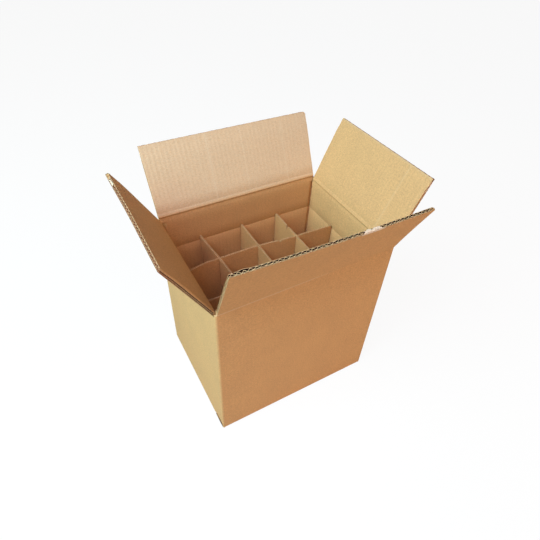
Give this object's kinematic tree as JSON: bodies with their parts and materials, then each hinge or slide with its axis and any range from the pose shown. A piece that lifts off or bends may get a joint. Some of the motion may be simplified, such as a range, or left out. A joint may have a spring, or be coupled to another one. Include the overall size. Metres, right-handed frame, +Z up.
{
  "type": "bottle shipping box",
  "caption": "Open corrugated carton with splayed top flaps hinged at their creases, and an interlocking strip divider inside that parts it into upright bottle cells.",
  "frame": {"origin": "centre of the underside, on the floor, where the bottom flaps meet", "axes": "+X along the front wall to the right, +Y from the front wall to the back wall, +Z up"},
  "size_m": [0.4506, 0.3515, 0.4566],
  "materials": {
    "box_board": "matt uncoated brown kraft liner on double-wall corrugated board",
    "divider_board": "matt uncoated brown liner on single-wall corrugated board"
  },
  "bodies": {
    "box": {"box_body": "box_board", "long_divider_front": "divider_board", "long_divider_back": "divider_board", "cross_divider_left": "divider_board", "cross_divider_centre": "divider_board", "cross_divider_right": "divider_board"},
    "front_flap": {"front_flap": "box_board"},
    "back_flap": {"back_flap": "box_board"},
    "left_flap": {"left_flap": "box_board"},
    "right_flap": {"right_flap": "box_board"}
  },
  "joints": [
    {"name": "front_flap_fold", "type": "hinge", "parent": "box", "child": "front_flap", "pos_m": [0, -0.1265, 0.337], "axis": [1, 0, 0], "range_deg": [-111.8, 153.2]},
    {"name": "back_flap_fold", "type": "hinge", "parent": "box", "child": "back_flap", "pos_m": [0, 0.1265, 0.337], "axis": [-1, 0, 0], "range_deg": [-114.1, 150.9]},
    {"name": "left_flap_fold", "type": "hinge", "parent": "box", "child": "left_flap", "pos_m": [-0.1665, 0, 0.3302], "axis": [0, -1, 0], "range_deg": [-119, 146]},
    {"name": "right_flap_fold", "type": "hinge", "parent": "box", "child": "right_flap", "pos_m": [0.1665, 0, 0.3302], "axis": [0, 1, 0], "range_deg": [-113.5, 151.5]}
  ]
}
